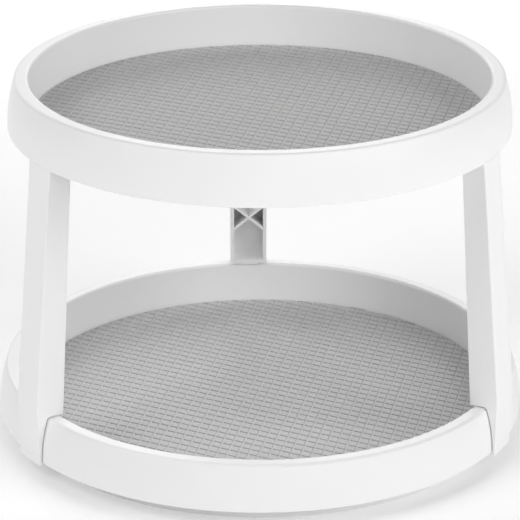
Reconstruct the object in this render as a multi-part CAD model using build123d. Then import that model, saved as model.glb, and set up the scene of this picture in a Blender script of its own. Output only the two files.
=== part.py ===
from build123d import *
import math
import os

os.makedirs("parts", exist_ok=True)

# Two-tier kitchen turntable. Millimetres, +Z up, origin on the spin axis at table level.
# The rear leg stands on +Y. Seen from the front, the other two legs stand left and right.

# Levels above the table
base_edge = 0.8
base_underside = 1.4
race_level = 3.4
lower_skirt_bottom = 10.4
lower_floor_top = 11.2
lower_rim_top = 37.0
upper_skirt_bottom = 183.0
upper_floor_top = 185.3
upper_rim_top = 211.3

# Moulded trays: radii of the inner wall's foot and lip, the rim's outer corner and the skirt's hem
wall = 2.0
web_thickness = 1.6
lower_foot_radius = 140.6
lower_lip_radius = 141.1
lower_rim_radius = 148.9
lower_hem_radius = 153.4
upper_foot_radius = 130.3
upper_lip_radius = 130.9
upper_rim_radius = 138.7
upper_hem_radius = 143.5
rim_round_inside = 1.5
rim_round_outside = 1.8
hem_round = 0.35

# Non-skid mats
mat_thickness = 1.3
lower_mat_radius = 139.7
upper_mat_radius = 129.4

# Base plate and its feet
base_radius = 140.7
base_wall_top = 7.6
foot_count = 6
foot_radius = 7.0
foot_circle = 128.0

# Ball bearing
ball_count = 12
ball_radius = 2.5
ball_circle = 105.0
ball_play = 0.06
track_half_width = 4.8
cage_bore = 2.75

# Centre pivot
journal_radius = 6.0
journal_play = 0.06
hub_top = 6.8
hub_underside = 4.4
journal_end = 4.2
washer_radius = 10.0
washer_thickness = 1.2
screw_radius = 1.55
screw_head_radius = 3.8

# Legs: outward-leaning channels, open towards the axis
leg_angles = {"rear_leg": 90.0, "front_left_leg": 210.0, "front_right_leg": 330.0}
leg_width = 22.6
leg_wall = 2.1
leg_knee_level = 42.0
leg_knee_radius = 156.1
leg_end_level = 9.2
leg_end_radius = 155.4
leg_inner_top_radius = 130.2
leg_inner_foot_radius = 139.5
leg_foot_gap = 0.7
leg_lip_thickness = 2.0
foot_scoop = 9.0
cross_levels = (69.7, 110.4, 151.1)
cross_half_height = 7.8
cross_rib = 1.5
tongue_width = 16.0
peg_width = 13.6
peg_inner_radius = 144.1
peg_outer_radius = 146.0
pad_width = 11.5


def section(points, rounds=(), bows=()):
    """Closed outline in the radius and height plane, with chosen corners rounded.

    A bow is a point of the outline and the middle of the arc that leaves it."""
    arc_middles = dict(bows)
    edges = []
    for here, there in zip(points, points[1:] + points[:1]):
        if here in arc_middles:
            edges.append(ThreePointArc(here, arc_middles[here], there))
        else:
            edges.append(Line(here, there))
    face = make_face(edges)
    for corner, radius in rounds:
        vertex = face.vertices().sort_by_distance((corner[0], corner[1], 0))[0]
        face = fillet(vertex, radius)
    return Plane.XZ * face


def turned(points, rounds=(), bows=()):
    """Solid of revolution about the spin axis."""
    return revolve(section(points, rounds, bows), Axis.Z)


def plate(points, thickness, rounds=()):
    """Flat upright plate lying in the radius and height plane at angle zero."""
    return extrude(section(points, rounds), thickness / 2, both=True)


def at_angle(shape, angle):
    """The same shape turned about the spin axis."""
    return Rot(0, 0, angle) * shape


def ring(inner, outer, bottom, top):
    """Plain ring between two radii and two levels."""
    return turned([(inner, bottom), (outer, bottom), (outer, top), (inner, top)])


def save(name, shape):
    """Write one piece to its own file."""
    export_step(shape, "parts/" + name + ".step")


def skirt_radius(level, rim_r, hem_r, rim_top, hem_level):
    """Radius of a tray's outer face: an arc that flares from the rim and stands upright at the hem."""
    flare = hem_r - rim_r
    drop = rim_top - hem_level
    bend = (drop ** 2 + flare ** 2) / (2 * flare)
    return hem_r - bend + math.sqrt(bend ** 2 - (level - hem_level) ** 2)


def tray_shell(foot_r, lip_r, rim_r, hem_r, floor_top, rim_top, hem_level):
    """Flat floor, upright inner wall, rounded hollow rim and flared outer skirt."""
    skirt = (rim_r, hem_r, rim_top, hem_level)
    under_rim = rim_top - wall
    half_way = (rim_top + hem_level) / 2
    half_way_inside = (under_rim + hem_level) / 2
    points = [
        (0, floor_top),
        (foot_r, floor_top),
        (lip_r, rim_top),
        (rim_r, rim_top),
        (hem_r, hem_level),
        (hem_r - wall, hem_level),
        (skirt_radius(under_rim, *skirt) - wall, under_rim),
        (lip_r + wall, under_rim),
        (foot_r + wall, floor_top - wall),
        (0, floor_top - wall),
    ]
    rounds = [
        (points[1], 0.8),
        (points[2], rim_round_inside),
        (points[3], rim_round_outside),
        (points[4], hem_round),
        (points[6], 0.8),
        (points[7], 0.5),
        (points[8], 1.2),
    ]
    bows = [
        (points[3], (skirt_radius(half_way, *skirt), half_way)),
        (points[5], (skirt_radius(half_way_inside, *skirt) - wall, half_way_inside)),
    ]
    return turned(points, rounds, bows)


def rim_gusset(foot_r, lip_r, rim_r, hem_r, floor_top, rim_top, hem_level):
    """Upright web that ties the inner wall to the skirt inside the hollow rim."""
    low = hem_level + 5.0
    high = rim_top - wall + 0.6
    bite = 1.1
    skirt = (rim_r, hem_r, rim_top, hem_level)
    points = [
        (foot_r + wall - bite, low),
        (skirt_radius(low, *skirt) - wall + bite, low),
        (skirt_radius(high, *skirt) - wall + 0.6, high),
        (lip_r + wall - bite, high),
    ]
    return plate(points, web_thickness)


lower_sizes = (lower_foot_radius, lower_lip_radius, lower_rim_radius, lower_hem_radius,
               lower_floor_top, lower_rim_top, lower_skirt_bottom)
upper_sizes = (upper_foot_radius, upper_lip_radius, upper_rim_radius, upper_hem_radius,
               upper_floor_top, upper_rim_top, upper_skirt_bottom)
lower_floor_underside = lower_floor_top - wall
upper_floor_underside = upper_floor_top - wall
lower_skirt = (lower_rim_radius, lower_hem_radius, lower_rim_top, lower_skirt_bottom)

# Base plate: dished disc with an outer wall, a flat ball track between two guide rings,
# a raised hub with the pivot hole, and stiffening ribs on its upper side
base_plate = turned([
    (journal_radius + journal_play, hub_underside),
    (15.3, hub_underside),
    (20.5, base_underside),
    (base_radius - 2.2, base_underside),
    (base_radius - 2.2, base_edge),
    (base_radius, base_edge),
    (base_radius - 0.4, base_wall_top),
    (base_radius - 2.4, base_wall_top),
    (base_radius - 2.3, race_level),
    (22.0, race_level),
    (16.5, hub_top),
    (journal_radius + journal_play, hub_top),
], [((base_radius, base_edge), 0.4), ((base_radius - 0.4, base_wall_top), 0.5)])
track_inside = ball_circle - track_half_width
track_outside = ball_circle + track_half_width
base_plate += ring(track_inside - 1.6, track_inside, race_level - 0.5, race_level + 1.6)
base_plate += ring(track_outside, track_outside + 1.6, race_level - 0.5, race_level + 1.6)
base_rib_top = race_level + 2.2
base_rib_root = race_level - 0.4
inner_rib = plate([
    (18.6, base_rib_root),
    (track_inside - 0.8, base_rib_root),
    (track_inside - 0.8, race_level + 1.2),
    (track_inside - 4.0, base_rib_top),
    (18.6, base_rib_top),
], web_thickness)
outer_rib = plate([
    (track_outside + 0.8, base_rib_root),
    (base_radius - 1.6, base_rib_root),
    (base_radius - 1.6, base_rib_top),
    (track_outside + 4.0, base_rib_top),
    (track_outside + 0.8, race_level + 1.2),
], web_thickness)
for step in range(12):
    base_plate += at_angle(inner_rib, 30.0 * step + 15.0)
    base_plate += at_angle(outer_rib, 30.0 * step + 15.0)
foot_angles = [360.0 * step / foot_count + 30.0 for step in range(foot_count)]
for angle in foot_angles:
    socket = Pos(foot_circle, 0, 1.3) * (
        Cylinder(foot_radius + 1.7, 0.8) - Cylinder(foot_radius + 0.2, 2.0)
    )
    base_plate += at_angle(socket, angle) & ring(0, base_radius, 0.9, race_level)
save("base_plate", base_plate)

# Feet: rubber discs stuck in the sockets under the base
for number, angle in enumerate(foot_angles, start=1):
    disc = Pos(foot_circle, 0, base_underside / 2) * Cylinder(foot_radius, base_underside)
    disc = fillet(disc.edges().group_by(Axis.Z)[0], 0.35)
    save("foot_" + str(number), at_angle(disc, angle))

# Bearing: loose balls on a flat track, kept apart by a ring with a collar round each ball
ball_level = race_level + ball_play + ball_radius
cage_bottom = race_level + 0.15
ball_cage = ring(ball_circle - 3.4, ball_circle + 3.4, cage_bottom, cage_bottom + 1.9)
ball_angles = [360.0 * step / ball_count for step in range(ball_count)]
for angle in ball_angles:
    collar = Pos(ball_circle, 0, cage_bottom + 1.9) * Cylinder(4.3, 3.8)
    ball_cage += at_angle(collar, angle)
for angle in ball_angles:
    bore = Pos(ball_circle, 0, ball_level) * Cylinder(cage_bore, 12.0)
    ball_cage -= at_angle(bore, angle)
save("ball_cage", ball_cage)
for number, angle in enumerate(ball_angles, start=1):
    ball = Pos(ball_circle, 0, ball_level) * Sphere(ball_radius)
    save("ball_" + str(number).zfill(2), at_angle(ball, angle))

# Lower tray: shell, upper ball track, journal for the pivot hole, ribs under the floor,
# webs in the hollow rim, and one slot in the rim's top for each leg's peg
lower_tray = tray_shell(*lower_sizes)
upper_race_level = ball_level + ball_radius + ball_play
floor_rib_bottom = 7.4
floor_rib_root = lower_floor_top - 0.8
lower_tray += ring(track_inside, track_outside, upper_race_level, floor_rib_root)
lower_tray += ring(0, 9.0, hub_top + 0.3, floor_rib_root)
lower_tray += ring(0, journal_radius, journal_end, floor_rib_root)
floor_rib_inner = plate([
    (8.0, floor_rib_bottom),
    (track_inside + 0.8, floor_rib_bottom + 1.4),
    (track_inside + 0.8, floor_rib_root),
    (8.0, floor_rib_root),
], web_thickness)
floor_rib_outer = plate([
    (track_outside - 0.8, upper_race_level + 0.2),
    (track_outside + 3.0, floor_rib_bottom),
    (130.0, floor_rib_bottom),
    (136.0, lower_floor_underside + 0.2),
    (136.0, floor_rib_root),
    (track_outside - 0.8, floor_rib_root),
], web_thickness)
for step in range(12):
    lower_tray += at_angle(floor_rib_inner, 30.0 * step)
    lower_tray += at_angle(floor_rib_outer, 30.0 * step)
lower_web = rim_gusset(*lower_sizes)
for step in range(18):
    lower_tray += at_angle(lower_web, 20.0 * step)
lower_tray -= Pos(0, 0, journal_end + 3.0) * Cylinder(screw_radius + 0.05, 6.4)
slot_middle = (peg_inner_radius + peg_outer_radius) / 2
slot_depth = peg_outer_radius - peg_inner_radius + 0.3
for angle in leg_angles.values():
    slot = Pos(slot_middle, 0, lower_rim_top) * Box(slot_depth, peg_width + 0.4, 8.0)
    lower_tray -= at_angle(slot, angle)
save("lower_tray", lower_tray)

# Pivot: washer under the base's hub, held to the tray's journal by a pan-head screw
washer_bottom = journal_end - washer_thickness
washer = ring(screw_radius + 0.35, washer_radius, washer_bottom, journal_end)
save("pivot_washer", washer)
screw = turned([
    (0, washer_bottom - 1.9),
    (screw_head_radius - 0.4, washer_bottom - 1.9),
    (screw_head_radius, washer_bottom - 1.0),
    (screw_head_radius, washer_bottom),
    (screw_radius, washer_bottom),
    (screw_radius, 9.3),
    (0.4, 10.1),
    (0, 10.1),
], [((screw_head_radius - 0.4, washer_bottom - 1.9), 0.6)])
for angle in (0.0, 90.0):
    screw -= at_angle(Pos(0, 0, washer_bottom - 1.9) * Box(4.0, 0.9, 2.2), angle)
save("pivot_screw", screw)

# Mats: soft discs lying loose on the two floors
for name, radius, level in (("lower_mat", lower_mat_radius, lower_floor_top),
                            ("upper_mat", upper_mat_radius, upper_floor_top)):
    top = level + mat_thickness
    mat = turned([(0, level), (radius, level), (radius, top), (0, top)], [((radius, top), 0.5)])
    save(name, mat)


# Legs: channel with crossed ribs, a lip over the lower rim, a skin down the lower skirt,
# a peg into the rim's slot, and a tongue up into the hollow upper rim
def outer_radius(level):
    """Radius of a leg's outer face at a level."""
    if level > leg_knee_level:
        share = (level - leg_knee_level) / (upper_skirt_bottom - leg_knee_level)
        return leg_knee_radius + share * (upper_hem_radius - leg_knee_radius)
    share = (leg_knee_level - level) / (leg_knee_level - leg_end_level)
    return leg_knee_radius + share * (leg_end_radius - leg_knee_radius)


def inner_radius(level):
    """Radius of a leg's inner edges at a level."""
    share = (level - lower_rim_top) / (upper_skirt_bottom - lower_rim_top)
    return leg_inner_foot_radius + share * (leg_inner_top_radius - leg_inner_foot_radius)


def sector(points, width, rounds=(), bows=()):
    """Part of a turned shape, cut to a constant width across angle zero."""
    swept = at_angle(revolve(section(points, rounds, bows), Axis.Z, 20.0), -10.0)
    return swept & Pos(140.0, 0, 110.0) * Box(80.0, width, 260.0)


def on_outer_corner(edge):
    """True for an edge that runs along a corner of a leg's outer face."""
    middle = edge.position_at(0.5)
    at_side = abs(abs(middle.Y) - leg_width / 2) < 0.01
    return at_side and math.hypot(middle.X, middle.Y) > outer_radius(middle.Z) - 0.7


skin_gap = 0.6
lip_underside = lower_rim_top + leg_foot_gap
lip_top = lip_underside + leg_lip_thickness
shoulder = lower_rim_top - 2.1
skin_middle = (leg_end_level + shoulder) / 2
leg_knee = (leg_knee_radius, leg_knee_level)
skin_end = (skirt_radius(leg_end_level, *lower_skirt) + skin_gap, leg_end_level)
rim_corner = (lower_rim_radius + 0.5, lip_underside)
leg_block = sector([
    (upper_hem_radius, upper_skirt_bottom),
    leg_knee,
    (leg_end_radius, leg_end_level),
    skin_end,
    (skirt_radius(shoulder, *lower_skirt) + skin_gap, shoulder),
    rim_corner,
    (inner_radius(lip_underside), lip_underside),
    (leg_inner_top_radius, upper_skirt_bottom),
], leg_width, [(leg_knee, 60.0), (rim_corner, 2.2)],
    [(skin_end, (skirt_radius(skin_middle, *lower_skirt) + skin_gap, skin_middle))])
leg_block = fillet([edge for edge in leg_block.edges() if on_outer_corner(edge)], 0.9)
channel_top = upper_skirt_bottom - 2.0
channel_corner = (leg_knee_radius - leg_wall - 0.2, lip_top)
channel = sector([
    (outer_radius(channel_top) - leg_wall, channel_top),
    channel_corner,
    (120.0, lip_top),
    (120.0, channel_top),
], leg_width - 2 * leg_wall, [(channel_corner, foot_scoop)])
apron = sector([
    (outer_radius(lip_underside) - leg_wall, lip_underside),
    (outer_radius(15.0) - leg_wall + 0.4, 15.0),
    (146.0, 15.0),
    (146.0, lip_underside),
], leg_width - 2 * leg_wall)
leg = leg_block - channel - apron
half_inside = leg_width / 2 - leg_wall
cross_angle = math.degrees(math.atan2(cross_half_height, half_inside))
cross_length = 2 * math.hypot(cross_half_height, half_inside) + 2.0
for level in cross_levels:
    for side in (1, -1):
        bar = Pos(outer_radius(level) - 15.0, 0, level) * Rot(side * cross_angle, 0, 0)
        leg += (bar * Box(28.0, cross_length, cross_rib)) & leg_block
leg += sector([
    (133.6, channel_top + 0.6),
    (139.9, channel_top + 0.6),
    (139.9, upper_skirt_bottom),
    (137.8, upper_skirt_bottom + 19.0),
    (134.0, upper_skirt_bottom + 19.0),
], tongue_width) - sector([
    (135.4, upper_skirt_bottom + 0.5),
    (138.0, upper_skirt_bottom + 0.5),
    (136.6, upper_skirt_bottom + 25.0),
    (135.4, upper_skirt_bottom + 25.0),
], tongue_width - 3.6)
peg = Pos(slot_middle, 0, 0) * plate([
    (-0.95, 24.0),
    (0.4, 24.0),
    (1.5, 32.6),
    (1.5, 34.4),
    (0.95, 34.4),
    (0.95, lip_underside + 0.8),
    (-0.95, lip_underside + 0.8),
], peg_width)
bearing_pad = sector([
    (leg_inner_foot_radius + 0.3, lower_rim_top),
    (peg_outer_radius + 0.2, lower_rim_top),
    (peg_outer_radius + 0.2, lip_underside + 0.5),
    (leg_inner_foot_radius + 0.3, lip_underside + 0.5),
], pad_width)
leg += peg
leg += bearing_pad
for name, angle in leg_angles.items():
    save(name, at_angle(leg, angle))

# Upper tray: shell, ribs under the floor, webs in the hollow rim, and a pair of guide
# plates that hold each leg's tongue
upper_tray = tray_shell(*upper_sizes)
upper_web = rim_gusset(*upper_sizes)
for step in range(18):
    if step % 6 != 0:
        upper_tray += at_angle(upper_web, 20.0 * step + leg_angles["rear_leg"])
for angle in leg_angles.values():
    for side in (1, -1):
        guide = Pos(0, side * (tongue_width / 2 + 0.9), 0) * upper_web
        upper_tray += at_angle(guide, angle)
under_rib_bottom = upper_skirt_bottom - 0.9
under_rib_root = upper_floor_underside + 0.4
under_rib = plate([
    (20.0, under_rib_bottom),
    (118.0, under_rib_bottom),
    (126.0, under_rib_root),
    (20.0, under_rib_root),
], web_thickness)
upper_tray += ring(19.0, 20.8, under_rib_bottom, under_rib_root)
upper_tray += ring(79.0, 80.6, under_rib_bottom, under_rib_root)
for step in range(6):
    upper_tray += at_angle(under_rib, 60.0 * step)
save("upper_tray", upper_tray)
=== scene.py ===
import math

import bpy
import numpy as np
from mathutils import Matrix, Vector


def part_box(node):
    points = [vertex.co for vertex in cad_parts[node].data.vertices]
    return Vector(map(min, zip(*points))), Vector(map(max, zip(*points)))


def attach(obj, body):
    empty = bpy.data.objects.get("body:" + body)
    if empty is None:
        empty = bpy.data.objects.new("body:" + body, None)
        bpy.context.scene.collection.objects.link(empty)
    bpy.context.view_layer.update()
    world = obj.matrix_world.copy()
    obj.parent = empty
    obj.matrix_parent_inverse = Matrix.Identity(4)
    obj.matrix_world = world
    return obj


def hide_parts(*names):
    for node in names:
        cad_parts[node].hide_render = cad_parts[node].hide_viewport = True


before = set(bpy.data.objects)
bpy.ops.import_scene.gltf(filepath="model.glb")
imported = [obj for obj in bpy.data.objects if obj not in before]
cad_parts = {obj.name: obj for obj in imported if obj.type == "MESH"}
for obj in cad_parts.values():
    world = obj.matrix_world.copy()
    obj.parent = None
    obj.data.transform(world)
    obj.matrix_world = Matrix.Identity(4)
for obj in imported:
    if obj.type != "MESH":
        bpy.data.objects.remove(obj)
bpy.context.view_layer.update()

# Base plate
# The fixed dish that stands on the table and carries the ball track. It is injection-moulded
# from white polypropylene in a tool with a fine satin finish, as the trays and legs are.
mm = 0.001


def linear(hex_colour):
    """Linear colour of an sRGB hex value."""
    parts = [int(hex_colour[start:start + 2], 16) / 255 for start in (1, 3, 5)]
    return tuple(c / 12.92 if c <= 0.04045 else ((c + 0.055) / 1.055) ** 2.4 for c in parts) + (1.0,)


def add_node(tree, kind, settings, links):
    """Add a node, set its sockets and properties, and link its inputs."""
    node = tree.nodes.new(kind)
    for key, value in settings.items():
        if key in node.inputs:
            node.inputs[key].default_value = value
        else:
            setattr(node, key, value)
    for socket, source in links.items():
        tree.links.new(source, node.inputs[socket])
    return node


def new_material(name):
    """Empty material with its node tree and a texture place fixed to the piece."""
    material = bpy.data.materials.new(name)
    material.use_nodes = True
    tree = material.node_tree
    tree.nodes.clear()
    place = add_node(tree, "ShaderNodeTexCoord", {}, {}).outputs["Object"]
    return material, tree, place


def dress(names, material):
    """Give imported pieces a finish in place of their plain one."""
    for name in names:
        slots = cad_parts[name].data.materials
        slots.clear()
        slots.append(material)


# Satin polypropylene: an even neutral white with a broad soft highlight. The flow of the melt leaves
# faint cloudy patches in the gloss, and the etched tool leaves a fine grain, drawn at 0.9 mm
# in place of about 0.1 mm so that it shows.
flow_patch = 35 * mm
tool_grain = 0.9 * mm
polypropylene, tree, place = new_material("moulded_polypropylene_satin_white")
flow = add_node(tree, "ShaderNodeTexNoise", {"Scale": 1 / flow_patch, "Detail": 3.0}, {"Vector": place})
grain = add_node(tree, "ShaderNodeTexNoise", {"Scale": 1 / tool_grain, "Detail": 2.0}, {"Vector": place})
gloss = add_node(tree, "ShaderNodeMapRange", {"To Min": 0.36, "To Max": 0.46},
                 {"Value": flow.outputs["Fac"]})
etch = add_node(tree, "ShaderNodeBump", {"Strength": 0.05, "Distance": 0.1 * mm},
                {"Height": grain.outputs["Fac"]})
tint = add_node(tree, "ShaderNodeValToRGB", {}, {"Fac": flow.outputs["Fac"]})
tint.color_ramp.elements[0].color = linear("#f4f4f4")
tint.color_ramp.elements[1].color = linear("#f6f6f6")
shader = add_node(tree, "ShaderNodeBsdfPrincipled", {"IOR": 1.49},
                  {"Base Color": tint.outputs["Color"], "Roughness": gloss.outputs["Result"],
                   "Normal": etch.outputs["Normal"]})
add_node(tree, "ShaderNodeOutputMaterial", {}, {"Surface": shader.outputs["BSDF"]})
dress(["base_plate"], polypropylene)

# Feet
# Six soft discs pressed into round sockets under the base plate, so that it grips the table.
# They are cut from black rubber sheet, which is dull, a little dusty and finely porous. The pores
# are drawn at 1.2 mm in place of about 0.2 mm so that they show.
rubber_grain = 1.2 * mm
rubber, tree, place = new_material("cut_rubber_black")
grain = add_node(tree, "ShaderNodeTexNoise", {"Scale": 1 / rubber_grain, "Detail": 4.0}, {"Vector": place})
dust = add_node(tree, "ShaderNodeValToRGB", {}, {"Fac": grain.outputs["Fac"]})
dust.color_ramp.elements[0].color = linear("#222222")
dust.color_ramp.elements[1].color = linear("#343434")
pores = add_node(tree, "ShaderNodeBump", {"Strength": 0.4, "Distance": 0.1 * mm},
                 {"Height": grain.outputs["Fac"]})
shader = add_node(tree, "ShaderNodeBsdfPrincipled", {"Roughness": 0.8, "IOR": 1.52},
                  {"Base Color": dust.outputs["Color"], "Normal": pores.outputs["Normal"]})
add_node(tree, "ShaderNodeOutputMaterial", {}, {"Surface": shader.outputs["BSDF"]})
dress(["foot_" + str(number) for number in range(1, 7)], rubber)

# Ball cage
# A thin ring with twelve collars that keeps the balls apart. It is moulded from natural acetal,
# which is milky white with a slippery gloss and faint clouds from the flow of the melt.
acetal_flow = 12 * mm
acetal, tree, place = new_material("moulded_acetal_natural")
flow = add_node(tree, "ShaderNodeTexNoise", {"Scale": 1 / acetal_flow, "Detail": 2.0}, {"Vector": place})
milk = add_node(tree, "ShaderNodeValToRGB", {}, {"Fac": flow.outputs["Fac"]})
milk.color_ramp.elements[0].color = linear("#e2e0d8")
milk.color_ramp.elements[1].color = linear("#ebe9e2")
gloss = add_node(tree, "ShaderNodeMapRange", {"To Min": 0.28, "To Max": 0.36},
                 {"Value": flow.outputs["Fac"]})
shader = add_node(tree, "ShaderNodeBsdfPrincipled", {"IOR": 1.48},
                  {"Base Color": milk.outputs["Color"], "Roughness": gloss.outputs["Result"]})
add_node(tree, "ShaderNodeOutputMaterial", {}, {"Surface": shader.outputs["BSDF"]})
dress(["ball_cage"], acetal)

# Bearing balls
# Twelve loose balls of hardened steel that run between the base plate and the lower tray.
# They are ground and polished to a mirror, dulled in patches by a thin film of grease.
grease_patch = 1.5 * mm
ball_steel, tree, place = new_material("polished_bearing_steel")
film = add_node(tree, "ShaderNodeTexNoise", {"Scale": 1 / grease_patch, "Detail": 2.0}, {"Vector": place})
gloss = add_node(tree, "ShaderNodeMapRange", {"To Min": 0.08, "To Max": 0.22},
                 {"Value": film.outputs["Fac"]})
shader = add_node(tree, "ShaderNodeBsdfPrincipled", {"Base Color": linear("#c2c3c5"), "Metallic": 1.0},
                  {"Roughness": gloss.outputs["Result"]})
add_node(tree, "ShaderNodeOutputMaterial", {}, {"Surface": shader.outputs["BSDF"]})
dress(["ball_" + str(number).zfill(2) for number in range(1, 13)], ball_steel)

# Lower tray
# The turning tray, with a flat floor, a hollow rim and a skirt that flares down over the base.
# It is one moulding in the same satin polypropylene.
dress(["lower_tray"], polypropylene)

# Pivot washer and screw
# A pressed washer and a pan-head screw under the base's hub hold the lower tray down.
# Both are zinc-plated steel, bright with a faint blue-grey cast and a patchy passivated gloss.
plating_patch = 2.5 * mm
zinc_steel, tree, place = new_material("zinc_plated_steel")
patches = add_node(tree, "ShaderNodeTexNoise", {"Scale": 1 / plating_patch, "Detail": 4.0},
                   {"Vector": place})
cast = add_node(tree, "ShaderNodeValToRGB", {}, {"Fac": patches.outputs["Fac"]})
cast.color_ramp.elements[0].color = linear("#a9adb3")
cast.color_ramp.elements[1].color = linear("#c6c8ca")
gloss = add_node(tree, "ShaderNodeMapRange", {"To Min": 0.25, "To Max": 0.42},
                 {"Value": patches.outputs["Fac"]})
shader = add_node(tree, "ShaderNodeBsdfPrincipled", {"Metallic": 1.0},
                  {"Base Color": cast.outputs["Color"], "Roughness": gloss.outputs["Result"]})
add_node(tree, "ShaderNodeOutputMaterial", {}, {"Surface": shader.outputs["BSDF"]})
dress(["pivot_washer", "pivot_screw"], zinc_steel)


# Lower mat
# A loose non-skid disc that covers the floor. It is foamed elastomer on an open scrim, pressed into
# raised pads in slanting rows, with a slot between pads and a groove and a thin rib along each column.
def foamed_elastomer(name, dark, light):
    """Matt grey foam whose fine cells make the colour and the surface slightly uneven."""
    # The cells are drawn at 1.1 mm in place of about 0.3 mm so that they show
    foam_cell = 1.1 * mm
    material, tree, place = new_material(name)
    cells = add_node(tree, "ShaderNodeTexNoise", {"Scale": 1 / foam_cell, "Detail": 3.0}, {"Vector": place})
    shade = add_node(tree, "ShaderNodeValToRGB", {}, {"Fac": cells.outputs["Fac"]})
    shade.color_ramp.elements[0].position = 0.3
    shade.color_ramp.elements[1].position = 0.7
    shade.color_ramp.elements[0].color = linear(dark)
    shade.color_ramp.elements[1].color = linear(light)
    skin = add_node(tree, "ShaderNodeBump", {"Strength": 0.3, "Distance": 0.15 * mm},
                    {"Height": cells.outputs["Fac"]})
    shader = add_node(tree, "ShaderNodeBsdfPrincipled", {"Roughness": 0.72, "IOR": 1.5},
                      {"Base Color": shade.outputs["Color"], "Normal": skin.outputs["Normal"]})
    add_node(tree, "ShaderNodeOutputMaterial", {}, {"Surface": shader.outputs["BSDF"]})
    return material


# Painted shade and painted light: the slot and groove faces get a darker grey where shade falls in them,
# and the ribs get a paler grey where light catches them, so the rows read as dark dashes and the columns as
# fine light lines with a dark side.
pad_elastomer = foamed_elastomer("foamed_elastomer_grey", "#bbbbbb", "#c9c9c9")
slot_shade_painted_elastomer = foamed_elastomer("elastomer_painted_slot_shade", "#9e9e9e", "#ababab")
rib_light_painted_elastomer = foamed_elastomer("elastomer_painted_rib_light", "#cbcbcb", "#d7d7d7")

# One repeat of the relief: where its lines lie along a row and along a column, as shares of the pitch
row_pitch = 6.05 * mm
column_pitch = 6.28 * mm
row_angle = math.radians(-30.1)
column_angle = math.radians(75.1)
crease, pad_left, pad_inner_left, pad_inner_right, pad_right = 0.0, 0.035, 0.11, 0.73, 0.815
rib_groove, rib_left, rib_crown, rib_right = 0.85, 0.88, 0.925, 0.97
across = np.array([crease, pad_left, pad_inner_left, pad_inner_right, pad_right,
                   rib_groove, rib_left, rib_crown, rib_right])
slot_half, pad_edge, pad_flat = 0.045, 0.085, 0.28
along = np.array([slot_half, pad_edge, pad_flat, 1 - pad_flat, 1 - pad_edge, 1 - slot_half])

# The same lines, and the faces after them, counted from zero
crease_line, groove_line, crown_line = 0, 5, 7
rib_sides = [6, 8]
pads = slice(1, 5)
pad_sides = [1, 4]
slot_lines = [0, 5]
slot_faces = [0, 4, 5]
groove_face = 5
rib_faces = [6, 7]

# Depths below the ribs' crowns
pad_depth, pad_round, rib_side_depth = 0.08 * mm, 0.13 * mm, 0.06 * mm
crease_depth, groove_depth, slot_depth = 0.12 * mm, 0.56 * mm, 0.70 * mm
groove_in_slot = 0.7 * slot_depth
pad_unevenness = 0.03 * mm
depth = np.full((len(across), len(along)), pad_depth)
depth[pad_sides, pads] = pad_round
depth[pads, pad_sides] = pad_round
depth[crease_line, :] = crease_depth
depth[groove_line, :] = groove_depth
depth[rib_sides, :] = rib_side_depth
depth[crown_line, :] = 0
depth[pads, slot_lines] = slot_depth
depth[groove_line, slot_lines] = groove_in_slot
depth[crease_line, slot_lines] = slot_depth


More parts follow.
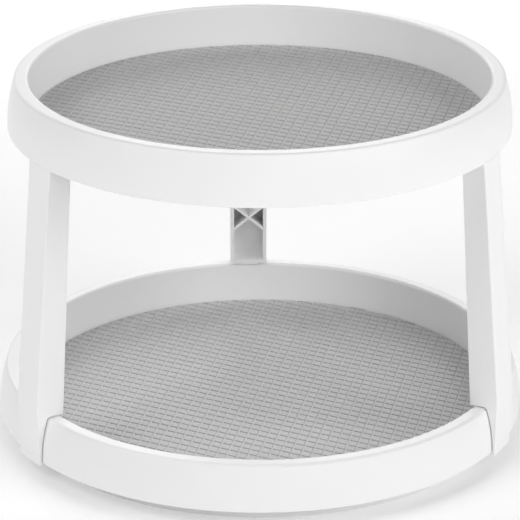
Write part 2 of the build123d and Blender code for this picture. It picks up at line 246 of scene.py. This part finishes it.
def pressed_mat(node, seed):
    """Closed relief mesh in the place of a mat, cut to its circle."""
    low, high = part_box(node)
    radius = high.x
    # Enough cells each way for the slanting grid to cover the circle
    slant_room, spare_cells = 0.9, 2
    cells = int(radius / (row_pitch * slant_room)) + spare_cells
    numbers = np.arange(-cells, cells)
    along_row = (numbers[:, None] + across).ravel()
    along_column = (numbers[:, None] + along).ravel()
    row_share, column_share = np.meshgrid(along_row, along_column, indexing="ij")
    x = row_share * row_pitch * math.cos(row_angle) + column_share * column_pitch * math.cos(column_angle)
    y = row_share * row_pitch * math.sin(row_angle) + column_share * column_pitch * math.sin(column_angle)
    uneven = np.abs(np.random.default_rng(seed).normal(0, pad_unevenness, (2 * cells, 2 * cells)))
    pad_cell = np.zeros(depth.shape)
    pad_cell[pads, pads] = 1
    z = high.z - np.tile(depth, (2 * cells, 2 * cells)) - np.kron(uneven, pad_cell)

    # Faces with a corner inside the circle stay, and their other corners move in to the circle
    reach = np.hypot(x, y)
    inside = reach < radius
    kept = inside[:-1, :-1] | inside[1:, :-1] | inside[1:, 1:] | inside[:-1, 1:]
    shrink = radius / np.maximum(reach, radius)
    index = np.arange(x.size).reshape(x.shape)
    quads = np.stack([index[:-1, :-1], index[1:, :-1], index[1:, 1:], index[:-1, 1:]], -1)[kept]
    cell_column = np.tile(np.arange(len(across)), 2 * cells)[:-1]
    cell_row = np.tile(np.arange(len(along)), 2 * cells)[:-1]
    # Painted shade on the slot and groove faces, painted light on the rib faces
    painted_shade_tone, painted_light_tone = 1, 2
    tone = np.zeros((len(cell_column), len(cell_row)), np.int32)
    tone[np.ix_(cell_column < groove_face, np.isin(cell_row, slot_faces))] = painted_shade_tone
    tone[cell_column == groove_face, :] = painted_shade_tone
    tone[np.isin(cell_column, rib_faces), :] = painted_light_tone
    used, quads = np.unique(quads, return_inverse=True)
    quads = quads.reshape(-1, 4)
    points = np.stack([(x * shrink).ravel(), (y * shrink).ravel(), z.ravel()], -1)[used]

    # The cut edge drops to the floor, and a fan closes the underside
    edges = np.concatenate([quads[:, [corner, (corner + 1) % 4]] for corner in range(4)])
    ends = set(map(tuple, edges.tolist()))
    rim = [edge for edge in ends if (edge[1], edge[0]) not in ends]
    below = {}
    for point in sorted(edge[0] for edge in rim):
        below[point] = len(points) + len(below)
    foot = points[list(below)] * (1, 1, 0) + (0, 0, low.z)
    centre = len(points) + len(foot)
    points = np.concatenate([points, foot, [(0, 0, low.z)]])
    walls = [(b, a, below[a], below[b]) for a, b in sorted(rim)]
    underside = [(centre, below[b], below[a]) for a, b in sorted(rim)]
    mesh = bpy.data.meshes.new(node + "_relief")
    mesh.from_pydata(points.tolist(), [], quads.tolist() + walls + underside)
    for material in (pad_elastomer, slot_shade_painted_elastomer, rib_light_painted_elastomer):
        mesh.materials.append(material)
    tones = np.zeros(len(mesh.polygons), np.int32)
    tones[:len(quads)] = tone[kept]
    mesh.polygons.foreach_set("material_index", tones)
    sharp_fold = math.radians(65)
    mesh.shade_smooth()
    mesh.set_sharp_from_angle(angle=sharp_fold)

    # Flat map seen from above, with the wall round it and the underside small in a corner
    top_share, wall_share, corner_share, corner_place = 0.485, 0.498, 0.07, 0.92
    flat = points[:, :2] / radius
    at = 0.5 + top_share * flat
    at[list(below.values())] = 0.5 + wall_share * flat[list(below.values())]
    under = corner_place + corner_share * flat
    corners = np.zeros(len(mesh.loops), np.int32)
    mesh.loops.foreach_get("vertex_index", corners)
    places = at[corners]
    first_under = 4 * (len(quads) + len(walls))
    places[first_under:] = under[corners[first_under:]]
    mesh.uv_layers.new(name="OFBake").data.foreach_set("uv", places.ravel())
    mat = bpy.data.objects.new(node + "_pressed", mesh)
    bpy.context.scene.collection.objects.link(mat)
    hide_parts(node)
    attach(mat, "turntable")


pressed_mat("lower_mat", 11)

# Legs
# Three leaning channels, open towards the axis, with crossed ribs inside. Each is moulded in the
# same polypropylene, pegged into the lower rim and tongued into the upper one.
dress(["rear_leg", "front_left_leg", "front_right_leg"], polypropylene)

# Upper tray
# The smaller tray on top of the legs, moulded like the lower one.
# Its skirt comes down flush with the legs' outer faces.
dress(["upper_tray"], polypropylene)

# Upper mat
# The smaller disc on the upper floor, cut from the same pressed sheet
# and laid the same way round.
pressed_mat("upper_mat", 12)

# Table
# A plain white sheet under the turntable, matt, that glows faintly by itself: painted light from its
# emission, standing in for a lamp below it, sends soft light up under the trays and leaves only a light
# contact shadow. Its fibres are drawn at 2 mm in place of about 0.1 mm.
table_half = 6.0
painted_sheet_glow = 0.19
paper_fibre = 2.0 * mm
table_paint, tree, place = new_material("matt_white_sheet")
fibre = add_node(tree, "ShaderNodeTexNoise", {"Scale": 1 / paper_fibre, "Detail": 2.0}, {"Vector": place})
paper = add_node(tree, "ShaderNodeValToRGB", {}, {"Fac": fibre.outputs["Fac"]})
paper.color_ramp.elements[0].color = linear("#f9f9f9")
paper.color_ramp.elements[1].color = linear("#fbfbfb")
shader = add_node(tree, "ShaderNodeBsdfPrincipled",
                  {"Roughness": 0.9, "Specular IOR Level": 0.2, "Emission Color": linear("#ffffff"),
                   "Emission Strength": painted_sheet_glow},
                  {"Base Color": paper.outputs["Color"]})
add_node(tree, "ShaderNodeOutputMaterial", {}, {"Surface": shader.outputs["BSDF"]})
table_mesh = bpy.data.meshes.new("table")
table_corners = [(-table_half, -table_half, 0), (table_half, -table_half, 0),
                 (table_half, table_half, 0), (-table_half, table_half, 0)]
table_mesh.from_pydata(table_corners, [], [(0, 1, 2, 3)])
table_mesh.materials.append(table_paint)
table = bpy.data.objects.new("table", table_mesh)
bpy.context.scene.collection.objects.link(table)

# Studio light
# Seven soft boxes round the table in a pale room. The strongest stands in front on the right, so
# the skirts brighten towards the right, and a small one behind puts a sheen on the rims.
camera_azimuth = -93.0
room_level = 0.12
room = bpy.data.worlds.new("pale_room")
bpy.context.scene.world = room
room.use_nodes = True
room.node_tree.nodes["Background"].inputs["Color"].default_value = linear("#ffffff")
room.node_tree.nodes["Background"].inputs["Strength"].default_value = room_level


def soft_box(name, turn, elevation, power, size=1.2):
    """Square soft light aimed at the turntable, turned to the right of the camera by an angle."""
    distance, aim_height = 2.2, 0.1
    data = bpy.data.lights.new(name, "AREA")
    data.shape = "SQUARE"
    data.size = size
    data.energy = power
    light = bpy.data.objects.new(name, data)
    bpy.context.scene.collection.objects.link(light)
    around = math.radians(camera_azimuth + turn)
    up = math.radians(elevation)
    out = distance * math.cos(up)
    light.location = (out * math.cos(around), out * math.sin(around), aim_height + distance * math.sin(up))
    light.rotation_euler = (math.pi / 2 - up, 0, around + math.pi / 2)


soft_box("front", 20, 26, 10.0)
soft_box("front_right", 60, 26, 17.8)
soft_box("front_left", -60, 26, 6.8)
soft_box("front_left_high", -60, 45, 11.6)
soft_box("back_right", 150, 26, 7.8)
soft_box("back_left", -150, 26, 12.4)
soft_box("back", 180, 22, 6.8, size=0.6)

# Camera
# It stands where the photograph was taken from: level, a little to the left of the front,
# looking down on the turntable through a long lens.
focal_pixels = 2692
picture_pixels = 520
camera_reach = 1.4534
camera_height = 0.6825
camera_pitch = math.radians(21.97)
camera_data = bpy.data.cameras.new("camera")
camera_data.sensor_width = 36.0
camera_data.lens = camera_data.sensor_width * focal_pixels / picture_pixels
camera = bpy.data.objects.new("camera", camera_data)
bpy.context.scene.collection.objects.link(camera)
around = math.radians(camera_azimuth)
camera.location = (camera_reach * math.cos(around), camera_reach * math.sin(around), camera_height)
camera.rotation_euler = (math.pi / 2 - camera_pitch, 0, around + math.pi / 2)
bpy.context.scene.camera = camera
bpy.context.scene.view_settings.view_transform = "Standard"
